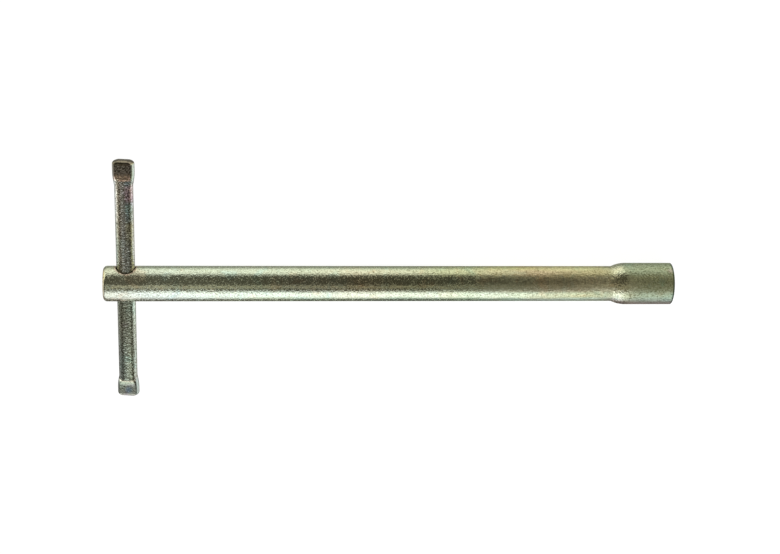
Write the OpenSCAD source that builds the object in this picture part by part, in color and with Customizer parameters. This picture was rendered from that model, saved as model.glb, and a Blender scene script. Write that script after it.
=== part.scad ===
// Tubular T-handle tap wrench.
// A steel tube is swaged out at one end into a round head with a hexagon socket.
// A round bar slides through a cross hole at the other end, and its ends are pressed flat, so that
// they are wider than the hole and keep it in.
// The origin is the centre of the socket's mouth. +X leaves the mouth along the tube, +Y runs
// along the sliding bar and +Z is square to both.

/* [Tube] */
// Overall length, from the plain end of the tube to the socket's mouth
tool_length = 250; // [180:1:320]
// Outside diameter of the tube
tube_diameter = 15.5; // [14.5:0.1:17]
// Diameter of the bore that runs the whole length of the tube
bore_diameter = 10.5; // [9:0.1:11.5]
// Radius of the rounding on the outside edge of the plain end
end_rounding = 1.8; // [0.4:0.1:1.9]

/* [Socket head] */
// Outside diameter of the swaged head
head_diameter = 18.4; // [17.8:0.1:20]
// Distance from the mouth to where the straight part of the head ends
head_straight = 20.8; // [18:0.1:30]
// Width across the flats of the hexagon, for a 13 mm nut
hex_flats = 13.1; // [12:0.1:14]
// Depth of the hexagon from the mouth
hex_depth = 23.5; // [16:0.1:30]
// Width of the chamfer round the outside edge of the mouth
mouth_chamfer = 0.5; // [0.2:0.1:0.8]

/* [Sliding bar] */
// Diameter of the round bar
bar_diameter = 8; // [7:0.1:8.2]
// Diameter of the cross hole that the bar slides in
cross_hole_diameter = 8.5; // [8.4:0.1:9]
// Distance from the plain end of the tube to the bar's axis
bar_from_end = 9.8; // [8:0.1:14]
// Overall length of the bar
bar_length = 110; // [90:0.1:150]
// How far the bar's middle stands from the tube's axis, as it was left
bar_shift = 1.6; // [-10:0.1:10]
// How far the bar's flat ends are turned about the bar
bar_turn = 8; // [0:1:90]
// Width of the pressed ends
pressed_width = 9.5; // [9.2:0.1:10]
// Thickness of the pressed ends between their flats
pressed_thickness = 5.4; // [5:0.1:6.5]
// Length of the pressed end on the +Y side
long_end_length = 11.2; // [10.5:0.1:14]
// Length of the pressed end on the -Y side
short_end_length = 9.6; // [9.2:0.1:14]
// Distance from the tip to the ledge where the flats end
flat_length = 8.5; // [7:0.1:8.8]

/* [Hidden] */
$fn = 96;

tube_radius = tube_diameter / 2;
bore_radius = bore_diameter / 2;
head_radius = head_diameter / 2;
bar_radius = bar_diameter / 2;

// Neck between tube and head: a small hollow arc runs into a large bulging one
neck_slope = 25;
neck_hollow_radius = 1.8;
neck_rise = head_radius - tube_radius;
neck_bulge_radius = neck_rise / (1 - cos(neck_slope)) - neck_hollow_radius;
neck_length = (neck_hollow_radius + neck_bulge_radius) * sin(neck_slope);
neck_start = -head_straight - neck_length;
arc_steps = 6;
short_arc_steps = 3;

// Socket: the hexagon ends in a short cone down to the bore, and the mouth has a lead-in that is a
// little wider than the corners. The round core stays a little inside the flats.
hex_corner_radius = hex_flats / 2 / cos(30);
socket_floor_length = 2.2;
lead_in_margin = 0.3;
lead_in_radius = hex_corner_radius + lead_in_margin;
lead_in_depth = 1.7;
core_margin = 0.2;
hollow_core_radius = hex_flats / 2 - core_margin;

// Pressed ends of the bar: flat near the tip, then a slight ramp, then a steep ledge
ramp_length = 2.6;
ramp_rise = 0.5;
ledge_length = 0.6;
tip_rounding = 1;
tip_dome_radius = 14;
shoulder_length = 6;
crest_margin = 0.15;
bar_top = bar_shift + bar_length / 2;
bar_bottom = bar_shift - bar_length / 2;

plating = [0.66, 0.66, 0.52];
bar_plating = [0.55, 0.53, 0.43];

// Points on an arc of the given centre and radius, between two angles
function arc(centre, radius, from, to, steps = arc_steps) =
    [for (i = [0 : steps])
        let (a = from + (to - from) * i / steps)
        centre + radius * [cos(a), sin(a)]];

// Half outline of the tube and head, as [distance from the axis, place along the tube]
function shank_outline() = concat(
    [[0, -tool_length]],
    arc([tube_radius - end_rounding, -tool_length + end_rounding], end_rounding, -90, 0),
    arc([tube_radius + neck_hollow_radius, neck_start], neck_hollow_radius,
        180, 180 - neck_slope, short_arc_steps),
    arc([head_radius - neck_bulge_radius, -head_straight], neck_bulge_radius, -neck_slope, 0),
    [[head_radius, -mouth_chamfer], [head_radius - mouth_chamfer, 0], [0, 0]]
);

// Half outline of a pressed end seen on its flat, as [distance from the bar's axis, distance from its
// tip]: a shallow dome, a rounded edge, the full width and the shoulder that runs in to the bar
function end_outline(length) =
    let (
        full_radius = pressed_width / 2,
        flat_radius = full_radius - tip_rounding,
        dome_slope = asin(flat_radius / tip_dome_radius),
        dome_sag = tip_dome_radius * (1 - cos(dome_slope)),
        shoulder_rise = full_radius - bar_radius,
        shoulder_radius = (pow(shoulder_length, 2) + pow(shoulder_rise, 2)) / (2 * shoulder_rise),
        shoulder_slope = asin(shoulder_length / shoulder_radius)
    )
    concat(
        arc([0, tip_dome_radius], tip_dome_radius, -90, dome_slope - 90, short_arc_steps),
        arc([flat_radius, dome_sag + tip_rounding], tip_rounding, dome_slope - 90, 0,
            short_arc_steps),
        arc([full_radius - shoulder_radius, length - shoulder_length], shoulder_radius,
            0, shoulder_slope),
        [[0, length]]
    );

// Half outline of a pressed end seen on its edge, as [distance from the middle, distance from the tip].
// Past the ledge it keeps just clear of the round bar.
function flats_outline(length) =
    let (
        ledge_start = flat_length - ledge_length,
        half_thickness = pressed_thickness / 2,
        crest = bar_radius + crest_margin
    ) [
        [half_thickness, -1],
        [half_thickness, ledge_start - ramp_length],
        [half_thickness + ramp_rise, ledge_start],
        [crest, flat_length],
        [crest, length + 1]
    ];

// Turns a shape made along +Z so that it lies along +X
module along_x() {
    rotate([0, 90, 0]) children();
}

// Half outline of what is hollow and round along the tube: the bore, the cone that it widens in below
// the hexagon, and the lead-in at the mouth. Between those two it keeps clear of the hexagon's flats.
function hollow_outline() = [
    [0, -tool_length - 1],
    [bore_radius, -tool_length - 1],
    [bore_radius, -hex_depth - socket_floor_length],
    [hollow_core_radius, -hex_depth],
    [hollow_core_radius, -lead_in_depth],
    [lead_in_radius, 0],
    [lead_in_radius, 1],
    [0, 1]
];

// Everything that is hollow along the tube
module shank_hollow() {
    rotate_extrude() polygon(hollow_outline());
    translate([0, 0, -hex_depth])
        rotate([0, 0, 30]) cylinder(r = hex_corner_radius, h = hex_depth + 0.5, $fn = 6);
}

// The cross hole, square to the tube, through both walls
module cross_hole() {
    translate([-tool_length + bar_from_end, 0, 0])
        rotate([90, 0, 0])
            cylinder(d = cross_hole_diameter, h = 2 * tube_diameter, center = true);
}

// What is left between the two dies that press an end flat
module between_dies(length) {
    half = flats_outline(length);
    last = len(half) - 1;
    other_half = [for (i = [last : -1 : 0]) [-half[i][0], half[i][1]]];
    rotate([90, 0, 90])
        linear_extrude(height = 2 * pressed_width, center = true)
            polygon(concat(half, other_half));
}

// One pressed end: a round swelling with a domed tip, flat on two sides
module pressed_end(length) {
    intersection() {
        rotate_extrude() polygon(end_outline(length));
        between_dies(length);
    }
}

module shank() {
    color(plating)
        difference() {
            along_x() rotate_extrude() polygon(shank_outline());
            along_x() shank_hollow();
            cross_hole();
        }
}

module sliding_bar() {
    overlap = 1;
    color(bar_plating)
        translate([-tool_length + bar_from_end, 0, 0])
            rotate([0, -bar_turn, 0])
                rotate([-90, 0, 0]) {
                    translate([0, 0, bar_bottom + short_end_length - overlap])
                        cylinder(
                            r = bar_radius,
                            h = bar_length - long_end_length - short_end_length + 2 * overlap
                        );
                    translate([0, 0, bar_top]) mirror([0, 0, 1]) pressed_end(long_end_length);
                    translate([0, 0, bar_bottom]) pressed_end(short_end_length);
                }
}

shank();
sliding_bar();
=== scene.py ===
"""Finished surfaces for the tubular T-handle wrench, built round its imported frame.

The shank is a turned shell with a swaged hexagon socket, made by one node tree and then pierced for the
cross hole in mesh code. The sliding bar is a round bar pressed flat at both ends, made by another tree.
Both are zinc plated and yellow passivated, over a fine pebbled surface. All sizes are in metres.
"""

import math

import bmesh
import bpy
import numpy as np
from mathutils import Matrix, Vector


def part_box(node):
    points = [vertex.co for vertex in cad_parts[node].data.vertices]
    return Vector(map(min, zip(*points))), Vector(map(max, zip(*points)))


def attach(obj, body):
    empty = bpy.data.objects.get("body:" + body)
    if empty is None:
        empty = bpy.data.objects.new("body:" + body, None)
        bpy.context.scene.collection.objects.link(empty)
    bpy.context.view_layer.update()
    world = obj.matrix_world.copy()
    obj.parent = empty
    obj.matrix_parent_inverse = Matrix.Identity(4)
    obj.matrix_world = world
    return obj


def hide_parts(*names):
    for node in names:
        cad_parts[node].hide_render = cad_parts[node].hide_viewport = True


MM = 0.001
# Points closer than this are one point
WELD_DISTANCE = 0.002 * MM

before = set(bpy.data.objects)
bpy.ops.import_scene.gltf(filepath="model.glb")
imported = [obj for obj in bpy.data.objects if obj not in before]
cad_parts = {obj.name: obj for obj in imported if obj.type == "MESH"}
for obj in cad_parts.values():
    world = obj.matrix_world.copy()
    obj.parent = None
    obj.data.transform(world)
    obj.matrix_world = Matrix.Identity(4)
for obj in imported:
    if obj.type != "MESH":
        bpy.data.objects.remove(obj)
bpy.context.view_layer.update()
shank_low, shank_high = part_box("shank")
bar_low, bar_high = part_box("sliding_bar")

# Shank
TOOL_LENGTH = -shank_low.x
HEAD_RADIUS = shank_high.y
TUBE_RADIUS = 7.75 * MM
BORE_RADIUS = 5.25 * MM
END_ROUNDING = 1.8 * MM
BORE_EDGE_ROUNDING = 0.4 * MM
HEAD_STRAIGHT = 20.8 * MM
MOUTH_CHAMFER = 0.5 * MM
NECK_SLOPE = math.radians(25)
NECK_HOLLOW_RADIUS = 1.8 * MM
HEXAGON_FLATS = 13.1 * MM
HEXAGON_DEPTH = 23.5 * MM
HEXAGON_CORNER = HEXAGON_FLATS / 2 / math.cos(math.radians(30))
SOCKET_CORE = HEXAGON_FLATS / 2 - 0.2 * MM
SOCKET_FLOOR_LENGTH = 2.2 * MM
LEAD_IN_RADIUS = HEXAGON_CORNER + 0.3 * MM
LEAD_IN_DEPTH = 1.7 * MM
CORNER_CUT = 0.08 * MM
CORNER_SOFTNESS = 0.25 * MM

# Sliding bar, which lies along Y
BAR_X = (bar_low.x + bar_high.x) / 2
BAR_RADIUS = 4 * MM
PRESSED_WIDTH = 9.5 * MM
PRESSED_THICKNESS = 5.4 * MM
LONG_END = 11.2 * MM
SHORT_END = 9.6 * MM
SHOULDER_LENGTH = 6 * MM
FLAT_LENGTH = 8.5 * MM
RAMP_LENGTH = 2.6 * MM
RAMP_RISE = 0.5 * MM
LEDGE_LENGTH = 0.7 * MM
TIP_HEIGHT = 1.8 * MM
EDGE_SOFTNESS = 0.3 * MM
BAR_RINGS = 260
BAR_AROUND = 120
BAR_TURN = math.radians(8)

# Cross hole, and the window in the shell that its rings of faces fill
HOLE_RADIUS = 4.25 * MM
HOLE_EDGE_ROUNDING = 0.45 * MM
WINDOW_HALF_LENGTH = 6.6 * MM
AROUND = 192
WINDOW_HALF_STEPS = 36

# Small marks on the plating, and one painted highlight
PIT = (-133.0 * MM, 7.0 * MM, 3.3 * MM)
PINK_SPOT = (-1.4 * MM, 8.0 * MM, 4.5 * MM)
BLUE_SPOT = (BAR_X + 0.2 * MM, -50.0 * MM, 2.7 * MM)
CREAM_HIGHLIGHT = (BAR_X - 2.8 * MM, 48.0 * MM, 2.9 * MM)


# ---------------------------------------------------------------- node trees


class Nodes:
    """Adds nodes to a tree and joins them, so that a formula reads in the order of its steps."""

    def __init__(self, tree):
        self.tree = tree

    def add(self, kind, inputs=None, **settings):
        """A node with the given settings. inputs maps a socket's name or number to a value or a socket."""
        node = self.tree.nodes.new(kind)
        for name, value in settings.items():
            setattr(node, name, value)
        for key, value in (inputs or {}).items():
            self.feed(node.inputs[key], value)
        return node

    def feed(self, socket, value):
        if isinstance(value, bpy.types.NodeSocket):
            self.tree.links.new(value, socket)
        else:
            socket.default_value = value

    def maths(self, operation, *values, clamped=False):
        node = self.add("ShaderNodeMath", dict(enumerate(values)), operation=operation)
        if clamped:
            node.use_clamp = True
        return node.outputs[0]

    def plus(self, a, b):
        return self.maths("ADD", a, b)

    def minus(self, a, b):
        return self.maths("SUBTRACT", a, b)

    def times(self, a, b):
        return self.maths("MULTIPLY", a, b)

    def over(self, a, b):
        return self.maths("DIVIDE", a, b)

    def ramp(self, value, start, end, low, high, smooth=False):
        """low before start, high after end, and a straight or smooth way between them."""
        kind = "SMOOTHSTEP" if smooth else "LINEAR"
        node = self.add("ShaderNodeMapRange", interpolation_type=kind)
        sockets = ("Value", "From Min", "From Max", "To Min", "To Max")
        for name, given in zip(sockets, (value, start, end, low, high)):
            self.feed(node.inputs[name], given)
        return node.outputs["Result"]


def geometry_tree(name, sockets):
    """A node group for a Geometry Nodes modifier, with a geometry input and output and named inputs."""
    tree = bpy.data.node_groups.new(name, "GeometryNodeTree")
    tree.interface.new_socket("Geometry", in_out="INPUT", socket_type="NodeSocketGeometry")
    tree.interface.new_socket("Geometry", in_out="OUTPUT", socket_type="NodeSocketGeometry")
    for label, kind in sockets.items():
        tree.interface.new_socket(label, in_out="INPUT", socket_type=kind)
    nodes = Nodes(tree)
    given = nodes.add("NodeGroupInput").outputs
    return nodes, given


def end_tree(nodes, geometry, material):
    """Every tree ends alike: seams welded, then real geometry with its material set."""
    weld = {"Geometry": geometry, "Distance": WELD_DISTANCE}
    closed = nodes.add("GeometryNodeMergeByDistance", weld)
    real = nodes.add("GeometryNodeRealizeInstances", {"Geometry": closed.outputs[0]})
    painted = nodes.add("GeometryNodeSetMaterial", {"Geometry": real.outputs[0], "Material": material})
    nodes.add("NodeGroupOutput", {"Geometry": painted.outputs[0]})


def grow(source_mesh, nodes, values, name):
    """Runs a node tree on a mesh and gives back a plain object with the result as its mesh."""
    seed = bpy.data.objects.new(name + "_seed", source_mesh)
    bpy.context.scene.collection.objects.link(seed)
    modifier = seed.modifiers.new(name, "NODES")
    modifier.node_group = nodes.tree
    for item in nodes.tree.interface.items_tree:
        if item.in_out == "INPUT" and item.name in values:
            modifier[item.identifier] = values[item.name]
    evaluated = seed.evaluated_get(bpy.context.evaluated_depsgraph_get())
    mesh = bpy.data.meshes.new_from_object(evaluated)
    seed.modifiers.remove(modifier)
    bpy.data.objects.remove(seed)
    mesh.name = name
    # the tree leaves an empty slot before its own material
    mesh.materials.clear()
    mesh.materials.append(values["Material"])
    mesh.polygons.foreach_set("material_index", [0] * len(mesh.polygons))
    piece = bpy.data.objects.new(name, mesh)
    bpy.context.scene.collection.objects.link(piece)
    return piece


def grid_counts(nodes, along, around):
    """A grid of along by around points, with each point's column and row as fields."""
    sizes = {"Size X": 1.0, "Size Y": 1.0, "Vertices X": along, "Vertices Y": around}
    grid = nodes.add("GeometryNodeMeshGrid", sizes)
    index = nodes.add("GeometryNodeInputIndex").outputs[0]
    column = nodes.maths("FLOOR", nodes.over(nodes.plus(index, 0.5), around))
    row = nodes.minus(index, nodes.times(column, around))
    return grid.outputs["Mesh"], column, row


# ---------------------------------------------------------------- shank


def arc(centre, radius, start, end, steps):
    """Points on an arc in the plane of (x, radius), with angles from the +radius side towards +x."""
    angles = np.radians(np.linspace(start, end, steps + 1))
    return [(centre[0] + radius * math.sin(a), centre[1] + radius * math.cos(a)) for a in angles]


def stretch(start, end, radius_start, radius_end, step):
    """Points strictly between two places, about one step apart."""
    count = max(1, round(abs(end - start) / step))
    share = np.arange(1, count) / count
    return [(start + (end - start) * s, radius_start + (radius_end - radius_start) * s) for s in share]


def past_window(start, end, radius):
    """Points along a plain stretch of tube, close together over the cross hole's window."""
    low = BAR_X - WINDOW_HALF_LENGTH
    high = BAR_X + WINDOW_HALF_LENGTH
    near = [(x, radius) for x in np.linspace(low, high, 25)]
    near_end = stretch(-TOOL_LENGTH + END_ROUNDING, low, radius, radius, 0.5 * MM)
    far_end = stretch(high, max(start, end), radius, radius, 2.4 * MM)
    points = near_end + near + far_end
    return points if end > start else points[::-1]


def shank_outline():
    """The shank's closed outline as (x, radius, 1 in the hexagon), from the plain end by the mouth."""
    neck_rise = HEAD_RADIUS - TUBE_RADIUS
    bulge = neck_rise / (1 - math.cos(NECK_SLOPE)) - NECK_HOLLOW_RADIUS
    neck_end = -HEAD_STRAIGHT
    neck_start = neck_end - (NECK_HOLLOW_RADIUS + bulge) * math.sin(NECK_SLOPE)
    slope = math.degrees(NECK_SLOPE)
    end = -TOOL_LENGTH

    outside = arc((end + END_ROUNDING, TUBE_RADIUS - END_ROUNDING), END_ROUNDING, -90, 0, 10)
    outside += past_window(end, neck_start, TUBE_RADIUS)
    hollow_centre = (neck_start, TUBE_RADIUS + NECK_HOLLOW_RADIUS)
    outside += arc(hollow_centre, NECK_HOLLOW_RADIUS, 180, 180 - slope, 6)
    outside += arc((neck_end, HEAD_RADIUS - bulge), bulge, -slope, 0, 12)
    outside += stretch(neck_end, -MOUTH_CHAMFER, HEAD_RADIUS, HEAD_RADIUS, 1.6 * MM)
    outside += arc((-MOUTH_CHAMFER, HEAD_RADIUS - MOUTH_CHAMFER), MOUTH_CHAMFER, 0, 90, 6)

    socket_start = -LEAD_IN_DEPTH
    floor = -HEXAGON_DEPTH
    socket = [(0, LEAD_IN_RADIUS)]
    socket += stretch(0, socket_start, LEAD_IN_RADIUS, SOCKET_CORE, 0.12 * MM)
    socket += stretch(socket_start, floor, SOCKET_CORE, SOCKET_CORE, 1.4 * MM)
    socket += [(floor, SOCKET_CORE)]

    cone_end = floor - SOCKET_FLOOR_LENGTH
    bore = [(floor, SOCKET_CORE)]
    bore += stretch(floor, cone_end, SOCKET_CORE, BORE_RADIUS, 0.5 * MM)
    bore += past_window(cone_end, end, BORE_RADIUS)
    edge = BORE_EDGE_ROUNDING
    bore += arc((end + edge, BORE_RADIUS + edge), edge, 180, 270, 5)

    points = [(x, r, 0) for x, r in outside]
    points += [(x, r, 1) for x, r in socket]
    points += [(x, r, 0) for x, r in bore]
    return points


def outline_mesh(points):
    """The outline as loose vertices (x, radius, 0), with the hexagon mark as an attribute."""
    mesh = bpy.data.meshes.new("shank_outline")
    mesh.from_pydata([(x, r, 0) for x, r, _ in points], [], [])
    mark = mesh.attributes.new("in_hexagon", "FLOAT", "POINT")
    mark.data.foreach_set("value", [float(m) for _, _, m in points])
    return mesh


def turned_shell_tree():
    """Turns an outline about the X axis. Inside the socket the radius is never less than a hexagon's."""
    nodes, given = geometry_tree("turned shell", {
        "Points": "NodeSocketInt",
        "Around": "NodeSocketInt",
        "Hexagon Flats": "NodeSocketFloat",
        "Corner Radius": "NodeSocketFloat",
        "Corner Softness": "NodeSocketFloat",
        "Material": "NodeSocketMaterial",
    })
    along = nodes.maths("ADD", given["Points"], 1)
    around = nodes.maths("ADD", given["Around"], 1)
    grid, column, row = grid_counts(nodes, along, around)
    point = nodes.maths("MODULO", column, given["Points"])
    place = nodes.add("GeometryNodeSampleIndex", data_type="FLOAT_VECTOR")
    nodes.feed(place.inputs["Geometry"], given["Geometry"])
    nodes.feed(place.inputs["Value"], nodes.add("GeometryNodeInputPosition").outputs[0])
    nodes.feed(place.inputs["Index"], point)
    mark = nodes.add("GeometryNodeSampleIndex", data_type="FLOAT")
    named = nodes.add("GeometryNodeInputNamedAttribute", {"Name": "in_hexagon"}, data_type="FLOAT")
    nodes.feed(mark.inputs["Geometry"], given["Geometry"])
    nodes.feed(mark.inputs["Value"], named.outputs["Attribute"])
    nodes.feed(mark.inputs["Index"], point)
    outline = nodes.add("ShaderNodeSeparateXYZ", {0: place.outputs["Value"]}).outputs

    turn = nodes.times(nodes.over(row, given["Around"]), 2 * math.pi)
    sixth = math.radians(60)
    from_flat = nodes.minus(nodes.maths("FLOORED_MODULO", turn, sixth), sixth / 2)
    flat = nodes.over(nodes.times(given["Hexagon Flats"], 0.5), nodes.maths("COSINE", from_flat))
    hexagon = nodes.maths("SMOOTH_MIN", flat, given["Corner Radius"], given["Corner Softness"])
    radius = nodes.maths("MAXIMUM", outline["Y"], nodes.times(hexagon, mark.outputs["Value"]))
    position = nodes.add("ShaderNodeCombineXYZ", {
        "X": outline["X"],
        "Y": nodes.times(radius, nodes.maths("COSINE", turn)),
        "Z": nodes.times(radius, nodes.maths("SINE", turn)),
    })
    turned = nodes.add("GeometryNodeSetPosition", {"Geometry": grid, "Position": position.outputs[0]})
    end_tree(nodes, turned.outputs[0], given["Material"])
    return nodes


def window_loops(bm, side):
    """The rims of one side's two windows, outer wall first, each in order round the hole."""
    half_turn = WINDOW_HALF_STEPS * 2 * math.pi / AROUND
    loops = {TUBE_RADIUS: [], BORE_RADIUS: []}
    for vertex in bm.verts:
        if not vertex.is_boundary or vertex.co.y * side < 0:
            continue
        radius = math.hypot(vertex.co.y, vertex.co.z)
        turn = math.asin(max(-1, min(1, vertex.co.z / radius)))
        across = (vertex.co.x - BAR_X) / WINDOW_HALF_LENGTH
        round_hole = math.atan2(turn / half_turn, across)
        wall = min(loops, key=lambda wall_radius: abs(wall_radius - radius))
        loops[wall].append((round_hole, vertex.co.x - BAR_X, turn, vertex))
    return [sorted(loop, key=lambda entry: entry[0]) for loop in loops.values()]


def wall_rings(loop, wall_radius, side, rounding, inward):
    """Rings of points from a window's rim across one wall to the hole's edge and over its rounding."""
    turns = np.array([entry[0] for entry in loop])
    rim_x = np.array([entry[1] for entry in loop])
    rim_turn = np.array([entry[2] for entry in loop])

    def on_wall(radius):
        across = radius * np.cos(turns)
        up = np.arcsin(radius * np.sin(turns) / wall_radius)
        return across, up

    def placed(across, up, radius=wall_radius):
        return np.stack([BAR_X + across, side * radius * np.cos(up), radius * np.sin(up)], 1)

    edge_x, edge_turn = on_wall(HOLE_RADIUS + rounding)
    rings = []
    for share in (np.arange(1, 9) / 8) ** 0.8:
        across = rim_x + (edge_x - rim_x) * share
        up = rim_turn + (edge_turn - rim_turn) * share
        rings.append(placed(across, up))
    outer = rings[-1]
    sharp = placed(*on_wall(HOLE_RADIUS))
    inner = sharp.copy()
    inner[:, 1] -= side * rounding * inward
    for t in np.arange(1, 7) / 6:
        rings.append(outer * (1 - t) ** 2 + sharp * 2 * t * (1 - t) + inner * t ** 2)
    return rings


def bridge(bm, ring, next_ring):
    for i in range(len(ring)):
        j = (i + 1) % len(ring)
        bm.faces.new((ring[i], ring[j], next_ring[j], next_ring[i]))


def pierce_cross_hole(mesh):
    """Opens the shell on both sides and sews in the cross hole, with rounded edges outside and inside."""
    bm = bmesh.new()
    bm.from_mesh(mesh)
    half_turn = WINDOW_HALF_STEPS * 2 * math.pi / AROUND
    doomed = []
    for face in bm.faces:
        centre = face.calc_center_median()
        turn = math.atan2(abs(centre.z), abs(centre.y))
        if abs(centre.x - BAR_X) < WINDOW_HALF_LENGTH and turn < half_turn:
            doomed.append(face)
    bmesh.ops.delete(bm, geom=doomed, context="FACES")
    for side in (1, -1):
        outer, inner = window_loops(bm, side)
        down = wall_rings(outer, TUBE_RADIUS, side, HOLE_EDGE_ROUNDING, 1)
        up = wall_rings(inner, BORE_RADIUS, side, 0.5 * HOLE_EDGE_ROUNDING, -1)
        wall = [down[-1] + (up[-1] - down[-1]) * t for t in (0.25, 0.5, 0.75)]
        rings = [[bm.verts.new(point) for point in ring] for ring in down + wall + up[::-1]]
        rings = [[entry[3] for entry in outer]] + rings + [[entry[3] for entry in inner]]
        for ring, next_ring in zip(rings, rings[1:]):
            bridge(bm, ring, next_ring)
    bmesh.ops.recalc_face_normals(bm, faces=bm.faces)
    bm.to_mesh(mesh)
    bm.free()


def smooth_with_edges(mesh, angle):
    """Smooth shading, but a true edge wherever two faces meet at more than the angle, in degrees."""
    mesh.polygons.foreach_set("use_smooth", [True] * len(mesh.polygons))
    mesh.set_sharp_from_angle(angle=math.radians(angle))


def make_shank(material):
    points = shank_outline()
    piece = grow(outline_mesh(points), turned_shell_tree(), {
        "Points": len(points),
        "Around": AROUND,
        "Hexagon Flats": HEXAGON_FLATS,
        "Corner Radius": HEXAGON_CORNER - CORNER_CUT,
        "Corner Softness": CORNER_SOFTNESS,
        "Material": material,
    }, "shank_shell")
    pierce_cross_hole(piece.data)
    smooth_with_edges(piece.data, 32)
    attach(piece, "wrench_body")
    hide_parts("shank")


# ---------------------------------------------------------------- sliding bar


def pressed_bar_tree():
    """A round bar along Y whose two ends swell sideways where they are pressed flat, with domed tips."""
    nodes, given = geometry_tree("pressed bar", {
        "Rings": "NodeSocketInt",
        "Around": "NodeSocketInt",
        "Bar X": "NodeSocketFloat",
        "Low Tip": "NodeSocketFloat",
        "High Tip": "NodeSocketFloat",
        "Bar Radius": "NodeSocketFloat",
        "Pressed Width": "NodeSocketFloat",
        "Pressed Thickness": "NodeSocketFloat",
        "Low End Length": "NodeSocketFloat",
        "High End Length": "NodeSocketFloat",
        "Shoulder Length": "NodeSocketFloat",
        "Flat Length": "NodeSocketFloat",
        "Ramp Length": "NodeSocketFloat",
        "Ramp Rise": "NodeSocketFloat",
        "Ledge Length": "NodeSocketFloat",
        "Tip Height": "NodeSocketFloat",
        "Edge Softness": "NodeSocketFloat",
        "Turn": "NodeSocketFloat",
        "Material": "NodeSocketMaterial",
    })
    around = nodes.maths("ADD", given["Around"], 1)
    grid, column, row = grid_counts(nodes, given["Rings"], around)
    along = nodes.over(column, nodes.minus(given["Rings"], 1))
    turn = nodes.times(nodes.over(row, given["Around"]), 2 * math.pi)

    # 0 at the middle of the bar and 1 at a tip, and which end this is
    from_middle = nodes.maths("ABSOLUTE", nodes.minus(nodes.times(along, 2), 1))
    high_end = nodes.maths("GREATER_THAN", along, 0.5)

    def of_end(low, high):
        return nodes.plus(low, nodes.times(nodes.minus(high, low), high_end))

    tip = of_end(given["Low Tip"], given["High Tip"])
    end_length = of_end(given["Low End Length"], given["High End Length"])
    half_length = nodes.times(nodes.minus(given["High Tip"], given["Low Tip"]), 0.5)

    # Distance from the tip: wide rings on the round part, close ones on the pressed end, then the cap
    neck_at, cap_at = 0.16, 0.82
    round_part = nodes.ramp(from_middle, 0, neck_at, nodes.minus(half_length, end_length), 0)
    pressed_part = nodes.ramp(from_middle, neck_at, cap_at, nodes.minus(end_length, given["Tip Height"]), 0)
    to_cap = nodes.plus(round_part, pressed_part)
    cap_turn = nodes.ramp(from_middle, cap_at, 1, 0, math.pi / 2)
    # the cap is a superellipse, squarer than a half circle
    squareness = 2.6
    roundness = 2 / squareness
    shrink = nodes.maths("POWER", nodes.maths("COSINE", cap_turn), roundness)
    rise = nodes.maths("POWER", nodes.maths("SINE", cap_turn), roundness)
    from_tip = nodes.plus(to_cap, nodes.times(given["Tip Height"], nodes.minus(1, rise)))

    # Half the width: the shoulder runs out from the round bar to the full width
    shoulder = nodes.over(nodes.minus(end_length, from_tip), given["Shoulder Length"])
    shoulder = nodes.maths("ADD", shoulder, 0, clamped=True)
    swell = nodes.maths("SINE", nodes.times(shoulder, math.pi / 2))
    full = nodes.times(given["Pressed Width"], 0.5)
    half_width = nodes.plus(given["Bar Radius"], nodes.times(nodes.minus(full, given["Bar Radius"]), swell))

    # Half the thickness: flat, then a slight ramp, then the ledge, which rises out of the bar
    ledge_start = nodes.minus(given["Flat Length"], given["Ledge Length"])
    ramp_start = nodes.minus(ledge_start, given["Ramp Length"])
    ramp_share = nodes.ramp(from_tip, ramp_start, ledge_start, 0, 1)
    ramp = nodes.times(given["Ramp Rise"], nodes.maths("POWER", ramp_share, 2.0))
    ledge = nodes.ramp(from_tip, ledge_start, given["Flat Length"], 0, given["Bar Radius"], smooth=True)
    half_thickness = nodes.plus(nodes.times(given["Pressed Thickness"], 0.5), nodes.plus(ramp, ledge))

    across = nodes.times(half_width, nodes.maths("COSINE", turn))
    up = nodes.times(given["Bar Radius"], nodes.maths("SINE", turn))
    pressed = nodes.maths("SMOOTH_MIN", nodes.maths("ABSOLUTE", up), half_thickness, given["Edge Softness"])
    up = nodes.times(nodes.maths("SIGN", up), pressed)
    across = nodes.times(across, shrink)
    up = nodes.times(up, shrink)

    cosine = nodes.maths("COSINE", given["Turn"])
    sine = nodes.maths("SINE", given["Turn"])
    toward_tip = of_end(-1.0, 1.0)
    position = nodes.add("ShaderNodeCombineXYZ", {
        "X": nodes.plus(given["Bar X"], nodes.minus(nodes.times(across, cosine), nodes.times(up, sine))),
        "Y": nodes.minus(tip, nodes.times(toward_tip, from_tip)),
        "Z": nodes.plus(nodes.times(across, sine), nodes.times(up, cosine)),
    })
    shaped = nodes.add("GeometryNodeSetPosition", {"Geometry": grid, "Position": position.outputs[0]})
    end_tree(nodes, shaped.outputs[0], given["Material"])
    return nodes


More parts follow.
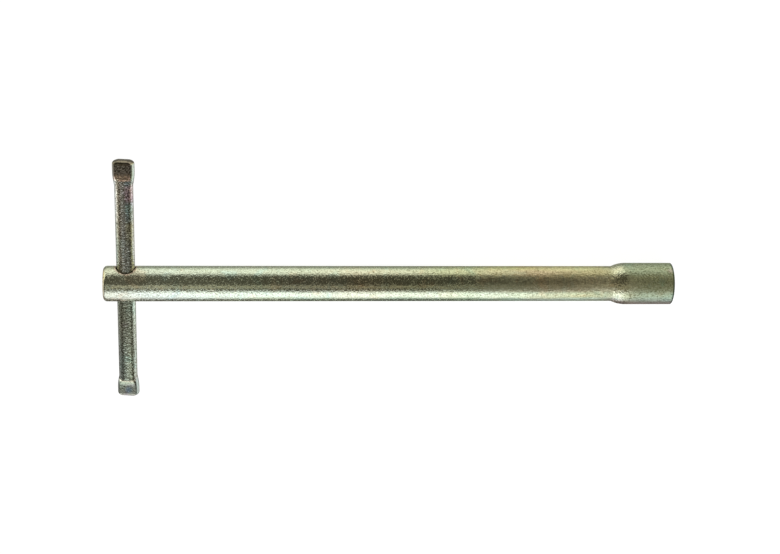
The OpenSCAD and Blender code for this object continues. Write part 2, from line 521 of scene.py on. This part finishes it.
def make_sliding_bar(material):
    piece = grow(bpy.data.meshes.new("bar_seed"), pressed_bar_tree(), {
        "Rings": BAR_RINGS,
        "Around": BAR_AROUND,
        "Bar X": BAR_X,
        "Low Tip": bar_low.y,
        "High Tip": bar_high.y,
        "Bar Radius": BAR_RADIUS,
        "Pressed Width": PRESSED_WIDTH,
        "Pressed Thickness": PRESSED_THICKNESS,
        "Low End Length": SHORT_END,
        "High End Length": LONG_END,
        "Shoulder Length": SHOULDER_LENGTH,
        "Flat Length": FLAT_LENGTH,
        "Ramp Length": RAMP_LENGTH,
        "Ramp Rise": RAMP_RISE,
        "Ledge Length": LEDGE_LENGTH,
        "Tip Height": TIP_HEIGHT,
        "Edge Softness": EDGE_SOFTNESS,
        "Turn": BAR_TURN,
        "Material": material,
    }, "tommy_bar")
    bm = bmesh.new()
    bm.from_mesh(piece.data)
    bmesh.ops.recalc_face_normals(bm, faces=bm.faces)
    bm.to_mesh(piece.data)
    bm.free()
    smooth_with_edges(piece.data, 60)
    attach(piece, "tommy_bar")
    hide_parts("sliding_bar")


# ---------------------------------------------------------------- materials


def colour_ramp(nodes, value, low, high, stops):
    """A colour ramp over a value between low and high, with stops of (value, (r, g, b))."""
    node = nodes.add("ShaderNodeValToRGB", {"Fac": nodes.ramp(value, low, high, 0, 1)})
    ramp = node.color_ramp
    ramp.interpolation = "EASE"
    while len(ramp.elements) < len(stops):
        ramp.elements.new(0.5)
    for element, (at, colour) in zip(ramp.elements, stops):
        element.position = (at - low) / (high - low)
        element.color = (*colour, 1)
    return node.outputs["Color"]


def noise(nodes, place, scale, detail=2.0, roughness=0.5, distortion=0.0):
    inputs = {
        "Vector": place,
        "Scale": scale,
        "Detail": detail,
        "Roughness": roughness,
        "Distortion": distortion,
    }
    return nodes.add("ShaderNodeTexNoise", inputs).outputs["Fac"]


def mixed(nodes, share, first, second, blend="MIX"):
    node = nodes.add("ShaderNodeMix", data_type="RGBA", blend_type=blend)
    nodes.feed(node.inputs["Factor"], share)
    for socket, value in zip([s for s in node.inputs if s.type == "RGBA"], (first, second)):
        nodes.feed(socket, value if isinstance(value, bpy.types.NodeSocket) else (*value, 1))
    return [s for s in node.outputs if s.type == "RGBA"][0]


def tinted(nodes, share, colour, tint):
    """The colour times the tint, as far as the share goes."""
    return mixed(nodes, share, colour, tint, "MULTIPLY")


def near(nodes, place, centre, full, none):
    """1 within a distance of a point, fading to 0 at another distance."""
    apart = nodes.add("ShaderNodeVectorMath", {0: place, 1: centre}, operation="DISTANCE")
    return nodes.ramp(apart.outputs["Value"], full, none, 1, 0, smooth=True)


def band(nodes, value, start, full, fade, end):
    """1 between full and fade, 0 before start and after end."""
    rise = nodes.ramp(value, start, full, 0, 1, smooth=True)
    return nodes.times(rise, nodes.ramp(value, fade, end, 1, 0, smooth=True))


def new_material(name):
    material = bpy.data.materials.new(name)
    material.use_nodes = True
    nodes = Nodes(material.node_tree)
    shader = material.node_tree.nodes["Principled BSDF"]
    shader.inputs["Metallic"].default_value = 1.0
    place = nodes.add("ShaderNodeTexCoord").outputs["Object"]
    return material, nodes, shader, place


def pebbled(nodes, place, depths, strength):
    """A bump of three sizes, with their depths in metres: rolled waviness, pebbles and fine grit."""
    waves = noise(nodes, place, 250.0, 1.0)
    pebbles = noise(nodes, place, 1400.0, 0.0)
    grit = noise(nodes, place, 2600.0, 0.0)
    height = nodes.times(waves, depths[0])
    height = nodes.plus(height, nodes.times(pebbles, depths[1]))
    height = nodes.plus(height, nodes.times(grit, depths[2]))
    bump = nodes.add("ShaderNodeBump", {"Height": height, "Strength": strength, "Distance": 1.0})
    return bump.outputs[0]


def matte_specks(nodes, place, low, high, amount):
    """Extra roughness in specks where the fine noise is above low, full above high."""
    speck = noise(nodes, place, 1700.0, 0.0)
    return nodes.times(nodes.ramp(speck, low, high, 0, 1, smooth=True), amount)


def shank_film_and_reflections(nodes, place, axes):
    """The colour of the film along the shank, with painted light round it: a darker crown, paler flanks,
    then tints for the low side and the rims.
    """
    wander = nodes.minus(noise(nodes, place, 45.0), 0.5)
    along = nodes.plus(nodes.over(axes["X"], MM), nodes.times(wander, 25.0))
    crown = colour_ramp(nodes, along, -250, 0, [
        (-250, (0.66, 0.68, 0.55)),
        (-225, (0.78, 0.83, 0.69)),
        (-207, (0.71, 0.76, 0.61)),
        (-185, (0.57, 0.61, 0.47)),
        (-162, (0.48, 0.49, 0.39)),
        (-138, (0.49, 0.45, 0.32)),
        (-118, (0.43, 0.44, 0.31)),
        (-93, (0.43, 0.45, 0.32)),
        (-72, (0.44, 0.44, 0.31)),
        (-45, (0.49, 0.44, 0.30)),
        (-32, (0.68, 0.64, 0.45)),
        (-15, (0.465, 0.485, 0.315)),
    ])
    flank = colour_ramp(nodes, along, -250, 0, [
        (-250, (0.60, 0.62, 0.50)),
        (-230, (0.61, 0.67, 0.58)),
        (-187, (0.61, 0.67, 0.56)),
        (-160, (0.60, 0.64, 0.51)),
        (-140, (0.63, 0.62, 0.48)),
        (-118, (0.57, 0.59, 0.44)),
        (-95, (0.53, 0.555, 0.36)),
        (-77, (0.59, 0.55, 0.36)),
        (-60, (0.59, 0.49, 0.325)),
        (-35, (0.52, 0.475, 0.285)),
        (-15, (0.44, 0.50, 0.355)),
    ])
    low_flank = colour_ramp(nodes, along, -250, 0, [
        (-215, (0.97, 0.94, 0.97)),
        (-185, (1.04, 1.03, 1.02)),
        (-120, (1.06, 1.09, 1.12)),
        (-102, (1.22, 1.20, 1.34)),
        (-80, (1.14, 1.29, 1.50)),
        (-63, (1.17, 1.46, 1.60)),
        (-45, (1.05, 1.24, 1.30)),
        (-32, (0.98, 1.06, 1.15)),
        (-22, (1.00, 1.00, 1.00)),
    ])
    upper_rim = colour_ramp(nodes, along, -250, 0, [
        (-234, (0.94, 0.97, 0.92)),
        (-180, (1.00, 1.01, 0.99)),
        (-133, (0.92, 1.01, 1.00)),
        (-98, (0.99, 1.04, 1.04)),
        (-67, (1.12, 1.23, 1.03)),
        (-40, (1.29, 1.42, 1.42)),
        (-22, (0.88, 0.89, 0.90)),
    ])
    low_rim = colour_ramp(nodes, along, -250, 0, [
        (-234, (1.18, 1.13, 1.12)),
        (-205, (1.10, 1.08, 1.03)),
        (-180, (0.92, 0.93, 0.84)),
        (-155, (0.81, 0.88, 0.79)),
        (-128, (0.75, 0.84, 0.82)),
        (-102, (0.64, 0.74, 0.70)),
        (-80, (0.64, 0.74, 0.73)),
        (-63, (0.82, 0.90, 1.02)),
        (-42, (1.12, 1.24, 1.55)),
        (-22, (0.92, 0.93, 0.97)),
    ])
    # crown, flanks, low side and rims are picked by how far round the tube a point leans, so their colours
    # are painted reflection bands: paler flanks as painted highlight, a darker crown as painted shade, and
    # tinted rims
    lean = nodes.maths("DEGREES", nodes.maths("ARCTAN2", axes["Y"], axes["Z"]))
    from_crown = nodes.maths("ABSOLUTE", nodes.minus(nodes.plus(lean, nodes.times(wander, 30.0)), 20.0))
    on_flank = nodes.ramp(from_crown, 15, 35, 0, 1, smooth=True)
    on_rim = nodes.ramp(from_crown, 46, 60, 0, 1, smooth=True)
    on_low_side = band(nodes, lean, -180, -60, -12, 0)
    rim = mixed(nodes, on_low_side, upper_rim, low_rim)
    colour = mixed(nodes, on_flank, crown, flank)
    colour = tinted(nodes, on_low_side, colour, low_flank)
    colour = tinted(nodes, on_rim, colour, rim)

    # a painted highlight on the neck's cheeks, and a pink tint along the low side of the head
    neck_highlight = nodes.times(band(nodes, axes["X"], -28.2 * MM, -26.4 * MM, -24 * MM, -21.5 * MM), on_flank)
    colour = tinted(nodes, neck_highlight, colour, (1.40, 1.38, 1.50))
    low_on_head = colour_ramp(nodes, lean, -60, 0, [
        (-55, (0.92, 0.65, 0.79)),
        (-42, (0.89, 0.71, 0.83)),
        (-32, (0.86, 0.82, 0.91)),
        (-24, (0.85, 0.87, 0.94)),
        (-14, (1.00, 1.00, 1.00)),
    ])
    on_head = nodes.ramp(axes["X"], -31 * MM, -23 * MM, 0, 1)
    on_low_head = nodes.times(on_head, band(nodes, lean, -180, -60, -14, -12))
    colour = tinted(nodes, on_low_head, colour, low_on_head)

    # painted shade: the plain end's rounded edge is darkened to brown
    plain_end_shade = nodes.ramp(axes["X"], -249.6 * MM, -249.1 * MM, 1, 0, smooth=True)
    return tinted(nodes, plain_end_shade, colour, (0.62, 0.50, 0.40))


def shank_material():
    """Yellow-passivated zinc: pale green at the plain end, pinkish brown further on, olive on the head."""
    material, nodes, shader, place = new_material("yellow_passivated_zinc")
    axes = nodes.add("ShaderNodeSeparateXYZ", {0: place}).outputs
    colour = shank_film_and_reflections(nodes, place, axes)
    # blooms of pink and blue-green where the film's thickness wanders
    bloom = noise(nodes, place, 130.0, 3.0, 0.6, 0.4)
    tint = colour_ramp(nodes, bloom, 0, 1, [
        (0.30, (0.92, 1.03, 1.10)),
        (0.45, (1.00, 1.00, 1.00)),
        (0.56, (1.00, 1.00, 1.00)),
        (0.68, (1.10, 0.97, 0.92)),
    ])
    colour = tinted(nodes, 0.8, colour, tint)
    # fine speckle
    speck = noise(nodes, place, 1500.0, 1.0)
    speck_tint = colour_ramp(nodes, speck, 0, 1, [(0.35, (0.86, 0.85, 0.80)), (0.65, (1.12, 1.12, 1.12))])
    colour = tinted(nodes, 1.0, colour, speck_tint)

    # a pink ring round each end of the cross hole, and painted shade inside the hole
    from_hole = nodes.add("ShaderNodeCombineXYZ", {"X": nodes.minus(axes["X"], BAR_X), "Z": axes["Z"]})
    length = nodes.add("ShaderNodeVectorMath", {0: from_hole.outputs[0]}, operation="LENGTH")
    hole_distance = length.outputs["Value"]
    in_ring = band(nodes, hole_distance, 4.2 * MM, 4.4 * MM, 4.8 * MM, 5.4 * MM)
    colour = tinted(nodes, in_ring, colour, (1.12, 0.90, 0.92))
    hole_shade = nodes.ramp(hole_distance, 4.24 * MM, 4.3 * MM, 1, 0)
    colour = tinted(nodes, hole_shade, colour, (0.45, 0.45, 0.40))
    # a small pit on the tube, a pink spot, and painted shade on the rounded edge at the mouth
    colour = tinted(nodes, near(nodes, place, PIT, 0.2 * MM, 0.7 * MM), colour, (0.55, 0.52, 0.45))
    colour = tinted(nodes, near(nodes, place, PINK_SPOT, 0.3 * MM, 1.8 * MM), colour, (1.18, 1.00, 1.22))
    mouth_edge_shade = band(nodes, axes["X"], -1.0 * MM, -0.55 * MM, -0.08 * MM, -0.02 * MM)
    colour = tinted(nodes, mouth_edge_shade, colour, (0.20, 0.24, 0.23))
    nodes.feed(shader.inputs["Base Color"], colour)

    # glossy, more and more blurred towards the neck, glossy again on it and dull on the head
    blurred = nodes.ramp(axes["X"], -125 * MM, -58 * MM, 0, 0.23, smooth=True)
    at_neck = nodes.ramp(axes["X"], -29 * MM, -25 * MM, 0, 0.19, smooth=True)
    on_head = nodes.ramp(axes["X"], -23.5 * MM, -18.5 * MM, 0, 0.29, smooth=True)
    patches = nodes.times(nodes.minus(noise(nodes, place, 260.0), 0.5), 0.08)
    roughness = nodes.plus(nodes.plus(0.13, blurred), nodes.plus(on_head, patches))
    roughness = nodes.minus(roughness, at_neck)
    roughness = nodes.plus(roughness, matte_specks(nodes, place, 0.5, 0.75, 0.5))
    nodes.feed(shader.inputs["Roughness"], roughness)

    strength = nodes.ramp(axes["X"], -110 * MM, -60 * MM, 1.0, 1.5)
    bump = pebbled(nodes, place, (0.06 * MM, 0.075 * MM, 0.045 * MM), strength)
    nodes.feed(shader.inputs["Normal"], bump)
    return material


def bar_film_and_reflections(nodes, axes, side):
    """The colour of the film on the round part of the bar along its length, with painted highlights and
    shade by the angle round it.
    """
    # across the bar these ramps are painted light: pale strips where highlights fall and painted shade
    # between them
    upper = colour_ramp(nodes, side, -1, 1, [
        (-0.98, (0.25, 0.26, 0.22)),
        (-0.88, (0.42, 0.43, 0.38)),
        (-0.78, (0.55, 0.53, 0.43)),
        (-0.60, (0.56, 0.51, 0.39)),
        (-0.46, (0.37, 0.34, 0.27)),
        (-0.15, (0.40, 0.39, 0.35)),
        (0.05, (0.26, 0.25, 0.22)),
        (0.35, (0.28, 0.28, 0.25)),
        (0.90, (0.42, 0.41, 0.36)),
    ])
    lower = colour_ramp(nodes, side, -1, 1, [
        (-0.95, (0.24, 0.225, 0.17)),
        (-0.60, (0.22, 0.215, 0.16)),
        (-0.15, (0.25, 0.26, 0.20)),
        (0.10, (0.25, 0.265, 0.21)),
        (0.50, (0.33, 0.35, 0.28)),
        (0.80, (0.41, 0.43, 0.36)),
    ])
    lowest = colour_ramp(nodes, side, -1, 1, [
        (-0.95, (0.17, 0.155, 0.13)),
        (-0.60, (0.19, 0.20, 0.175)),
        (-0.25, (0.30, 0.335, 0.28)),
        (0.08, (0.47, 0.51, 0.42)),
        (0.50, (0.38, 0.40, 0.31)),
        (0.80, (0.35, 0.36, 0.31)),
    ])
    along = axes["Y"]
    colour = mixed(nodes, nodes.ramp(along, -38 * MM, -14 * MM, 1, 0, smooth=True), lower, lowest)
    colour = mixed(nodes, nodes.ramp(along, -6 * MM, 14 * MM, 0, 1, smooth=True), colour, upper)
    # painted highlight: the left flank grows paler towards the upper end
    left_highlight = nodes.ramp(side, -0.75, -0.55, 1, 0)
    upwards = colour_ramp(nodes, along, 0, 50 * MM, [
        (12 * MM, (0.55, 0.59, 0.56)),
        (25 * MM, (0.70, 0.70, 0.66)),
        (37 * MM, (1.06, 1.06, 1.14)),
    ])
    colour = tinted(nodes, left_highlight, colour, upwards)
    # on the right flank the film runs through mauve, teal and yellow-green
    on_right = nodes.times(
        nodes.ramp(side, -0.05, 0.35, 0, 1, smooth=True),
        nodes.ramp(side, 0.7, 0.9, 1, 0.45),
    )
    fringes = colour_ramp(nodes, along, 0, 50 * MM, [
        (17 * MM, (1.00, 1.02, 1.00)),
        (22 * MM, (1.04, 1.00, 0.85)),
        (28 * MM, (1.02, 0.99, 0.78)),
        (31 * MM, (0.88, 0.98, 1.02)),
        (37 * MM, (0.82, 1.03, 1.05)),
        (40 * MM, (1.14, 0.87, 1.06)),
        (45 * MM, (1.12, 0.87, 1.02)),
        (47.5 * MM, (0.85, 0.98, 1.10)),
    ])
    return tinted(nodes, on_right, colour, fringes)


def bar_material():
    """The same plating on a rougher drawn bar, darker, with brown, violet and green patches."""
    material, nodes, shader, place = new_material("dark_passivated_zinc")
    axes = nodes.add("ShaderNodeSeparateXYZ", {0: place}).outputs
    side = nodes.over(nodes.minus(axes["X"], BAR_X), BAR_RADIUS)
    colour = bar_film_and_reflections(nodes, axes, side)

    # the pressed ends: dark flats with a painted pink or cream highlight at the ledge, grey-green cheeks
    # with painted shade on the left ones, and pale tips
    middle = (bar_low.y + bar_high.y) / 2
    from_middle = nodes.maths("ABSOLUTE", nodes.minus(axes["Y"], middle))
    upper_end = nodes.maths("GREATER_THAN", axes["Y"], middle)
    across = nodes.plus(
        nodes.times(nodes.times(side, BAR_RADIUS), math.cos(BAR_TURN)),
        nodes.times(axes["Z"], math.sin(BAR_TURN)),
    )
    # painted highlight: the first stops, pink on the upper end and cream on the lower, light up the ledge
    upper_flat = colour_ramp(nodes, from_middle, 46 * MM, 56 * MM, [
        (47.0 * MM, (0.78, 0.60, 0.50)),
        (47.9 * MM, (0.72, 0.55, 0.47)),
        (48.9 * MM, (0.27, 0.22, 0.18)),
        (51.0 * MM, (0.20, 0.175, 0.14)),
        (53.8 * MM, (0.18, 0.16, 0.125)),
        (54.5 * MM, (0.22, 0.20, 0.155)),
    ])
    lower_flat = colour_ramp(nodes, from_middle, 46 * MM, 56 * MM, [
        (46.8 * MM, (0.90, 0.85, 0.67)),
        (47.8 * MM, (0.33, 0.37, 0.28)),
        (49.5 * MM, (0.31, 0.34, 0.28)),
        (53.6 * MM, (0.30, 0.31, 0.26)),
        (54.4 * MM, (0.42, 0.39, 0.34)),
    ])
    flat = mixed(nodes, upper_end, lower_flat, upper_flat)
    flat = tinted(nodes, near(nodes, place, BLUE_SPOT, 0.3 * MM, 2.4 * MM), flat, (0.66, 0.88, 1.08))
    # painted highlight: a cream glint at the left of the upper end's ledge
    flat = tinted(nodes, near(nodes, place, CREAM_HIGHLIGHT, 0.5 * MM, 1.4 * MM), flat, (1.35, 1.60, 1.60))
    # painted shade: the left cheeks are near black, while the right ones are the lit grey-green
    shaded_left_cheek = mixed(nodes, upper_end, (0.06, 0.06, 0.04), (0.13, 0.11, 0.075))
    lit_right_cheek = mixed(nodes, upper_end, (0.31, 0.35, 0.31), (0.38, 0.42, 0.35))
    cheek = mixed(nodes, nodes.maths("GREATER_THAN", across, 0.0), shaded_left_cheek, lit_right_cheek)
    off_flat = nodes.ramp(nodes.maths("ABSOLUTE", across), 3.35 * MM, 3.7 * MM, 0, 1)
    on_cap = nodes.ramp(from_middle, 53.7 * MM, 54.2 * MM, 0, 1)
    pressed = nodes.ramp(from_middle, 46.3 * MM, 46.8 * MM, 0, 1)
    end_colour = mixed(nodes, nodes.times(off_flat, nodes.minus(1, on_cap)), flat, cheek)
    colour = mixed(nodes, pressed, colour, end_colour)

    patches = noise(nodes, place, 110.0, 3.0, 0.6, 0.6)
    tint = colour_ramp(nodes, patches, 0, 1, [
        (0.30, (0.92, 1.06, 1.07)),
        (0.45, (1.00, 1.00, 0.98)),
        (0.58, (1.03, 0.98, 0.97)),
        (0.70, (1.04, 0.92, 1.08)),
    ])
    colour = tinted(nodes, 0.8, colour, tint)
    speck = noise(nodes, place, 1300.0, 1.0)
    speck_tint = colour_ramp(nodes, speck, 0, 1, [(0.35, (0.75, 0.74, 0.70)), (0.65, (1.25, 1.25, 1.22))])
    colour = tinted(nodes, nodes.minus(1, nodes.times(pressed, 0.5)), colour, speck_tint)
    nodes.feed(shader.inputs["Base Color"], colour)

    # the dies leave the ends smoother, most of all beside the flats and on the tips
    smoothest = nodes.maths("MAXIMUM", off_flat, on_cap)
    polish = nodes.times(pressed, nodes.plus(0.45, nodes.times(0.35, smoothest)))
    coarse = nodes.minus(1, polish)
    wear = nodes.times(nodes.minus(noise(nodes, place, 300.0), 0.5), 0.10)
    specks = nodes.times(matte_specks(nodes, place, 0.45, 0.7, 0.6), coarse)
    nodes.feed(shader.inputs["Roughness"], nodes.plus(nodes.plus(0.15, wear), specks))
    strength = nodes.times(coarse, nodes.ramp(side, 0.15, 0.6, 1.0, 0.65, smooth=True))
    bump = pebbled(nodes, place, (0.06 * MM, 0.125 * MM, 0.055 * MM), strength)
    nodes.feed(shader.inputs["Normal"], bump)
    return material


# ---------------------------------------------------------------- stage

# The tent is dim, with a few soft panels in it. Each panel has four leans in degrees, where it starts, is
# full, starts to fade and ends, then a brightness and a tint. A lean of 0 is overhead, 90 is the horizon
# on the +Y side and 180 is below.
TENT_STRENGTH = 2.0
PLAIN_LIGHT = (1.0, 1.0, 0.9)
COOL_LIGHT = (1.0, 1.05, 1.1)
WARM_LIGHT = (1.0, 0.95, 0.75)
DIM_TENT = 0.1
# How far sideways, in degrees, the light starts to change to an end's panels, and has changed
ENDS_START = 30
ENDS_FULL = 48
SIDE_PANELS = [
    (70, 100, 120, 160, 1.3, PLAIN_LIGHT),
    (130, 170, 180, 181, 0.4, PLAIN_LIGHT),
    (-181, -180, -150, -120, 0.4, PLAIN_LIGHT),
    (-110, -70, -45, -20, 1.6, COOL_LIGHT),
    (-12, -5, 3, 12, 0.5, WARM_LIGHT),
]
PLAIN_END_PANELS = [
    (60, 90, 180, 181, 1.5, WARM_LIGHT),
    (-181, -180, -120, -50, 1.5, COOL_LIGHT),
]
MOUTH_END_PANELS = [
    (0, 60, 180, 181, 1.5, WARM_LIGHT),
    (-181, -180, -100, -70, 1.5, COOL_LIGHT),
]


def make_camera():
    """Looks down on the T from its +Y side, a little towards the plain end, and slightly rolled."""
    target = Vector((-125.4, 3.1, 0)) * MM
    lean = math.radians(22.5)
    swing = math.radians(-5.0)
    roll = math.radians(2.08)
    distance = 778.6 * MM
    back = Vector((math.sin(swing), math.cos(swing) * math.sin(lean), math.cos(swing) * math.cos(lean)))
    right = Vector((0, 1, 0)).cross(back).normalized()
    up = back.cross(right)
    rolled_right = right * math.cos(roll) + up * math.sin(roll)
    rolled_up = up * math.cos(roll) - right * math.sin(roll)
    camera = bpy.data.objects.new("camera", bpy.data.cameras.new("camera"))
    camera.data.lens = 81.9
    camera.data.sensor_width = 36
    camera.data.clip_start = 0.01
    camera.matrix_world = Matrix.Translation(target + back * distance) @ Matrix(
        (rolled_right, rolled_up, back)
    ).transposed().to_4x4()
    bpy.context.scene.collection.objects.link(camera)
    bpy.context.scene.camera = camera


def make_floor():
    """A wide sheet that glows white, under the tool's head. The metal doesn't mirror it."""
    half = 3.0
    height = -HEAD_RADIUS
    mesh = bpy.data.meshes.new("floor")
    corners = [(-half, -half, height), (half, -half, height), (half, half, height), (-half, half, height)]
    mesh.from_pydata(corners, [], [(0, 1, 2, 3)])
    floor = bpy.data.objects.new("floor", mesh)
    material = bpy.data.materials.new("lit_sheet")
    material.use_nodes = True
    shader = material.node_tree.nodes["Principled BSDF"]
    shader.inputs["Base Color"].default_value = (0.2, 0.2, 0.2, 1)
    shader.inputs["Roughness"].default_value = 0.9
    shader.inputs["Emission Color"].default_value = (1, 1, 1, 1)
    shader.inputs["Emission Strength"].default_value = 0.94
    mesh.materials.append(material)
    floor.visible_glossy = False
    bpy.context.scene.collection.objects.link(floor)


def make_overhead_light():
    """A large soft light that whitens the floor. The metal doesn't mirror it."""
    light = bpy.data.lights.new("overhead", "AREA")
    light.shape = "RECTANGLE"
    light.size = 2.2
    light.size_y = 1.6
    light.energy = 4.0
    lamp = bpy.data.objects.new("overhead", light)
    lamp.location = (-0.12, 0.1, 1.3)
    lamp.visible_glossy = False
    lamp.visible_camera = False
    bpy.context.scene.collection.objects.link(lamp)


def make_surroundings():
    """The dim tent and its panels, which the metal mirrors. Seen straight by the camera it is white."""
    world = bpy.data.worlds.new("studio")
    world.use_nodes = True
    nodes = Nodes(world.node_tree)
    tent = world.node_tree.nodes["Background"]
    place = nodes.add("ShaderNodeTexCoord").outputs["Generated"]
    way = nodes.add("ShaderNodeSeparateXYZ", {0: place}).outputs
    lean = nodes.maths("DEGREES", nodes.maths("ARCTAN2", way["Y"], way["Z"]))
    sideways = nodes.maths("DEGREES", nodes.maths("ARCSINE", way["X"]))

    def lit(panels):
        light = tuple(part * DIM_TENT / TENT_STRENGTH for part in WARM_LIGHT)
        for start, full, fade, end, brightness, tint in panels:
            panel = tuple(part * brightness / TENT_STRENGTH for part in tint)
            light = mixed(nodes, band(nodes, lean, start, full, fade, end), light, panel)
        return light

    to_plain_end = nodes.ramp(sideways, -ENDS_START, -ENDS_FULL, 0, 1, smooth=True)
    light = mixed(nodes, to_plain_end, lit(SIDE_PANELS), lit(PLAIN_END_PANELS))
    to_mouth_end = nodes.ramp(sideways, ENDS_START, ENDS_FULL, 0, 1, smooth=True)
    light = mixed(nodes, to_mouth_end, light, lit(MOUTH_END_PANELS))
    nodes.feed(tent.inputs["Color"], light)
    tent.inputs["Strength"].default_value = TENT_STRENGTH

    backdrop = nodes.add("ShaderNodeBackground", {"Color": (1, 1, 1, 1), "Strength": 1.0})
    seen = nodes.add("ShaderNodeLightPath").outputs["Is Camera Ray"]
    shown = nodes.add("ShaderNodeMixShader", {0: seen, 1: tent.outputs[0], 2: backdrop.outputs[0]})
    nodes.feed(world.node_tree.nodes["World Output"].inputs["Surface"], shown.outputs[0])
    bpy.context.scene.world = world


make_camera()
make_shank(shank_material())
make_sliding_bar(bar_material())
make_floor()
make_overhead_light()
make_surroundings()
bpy.context.scene.view_settings.view_transform = "Standard"
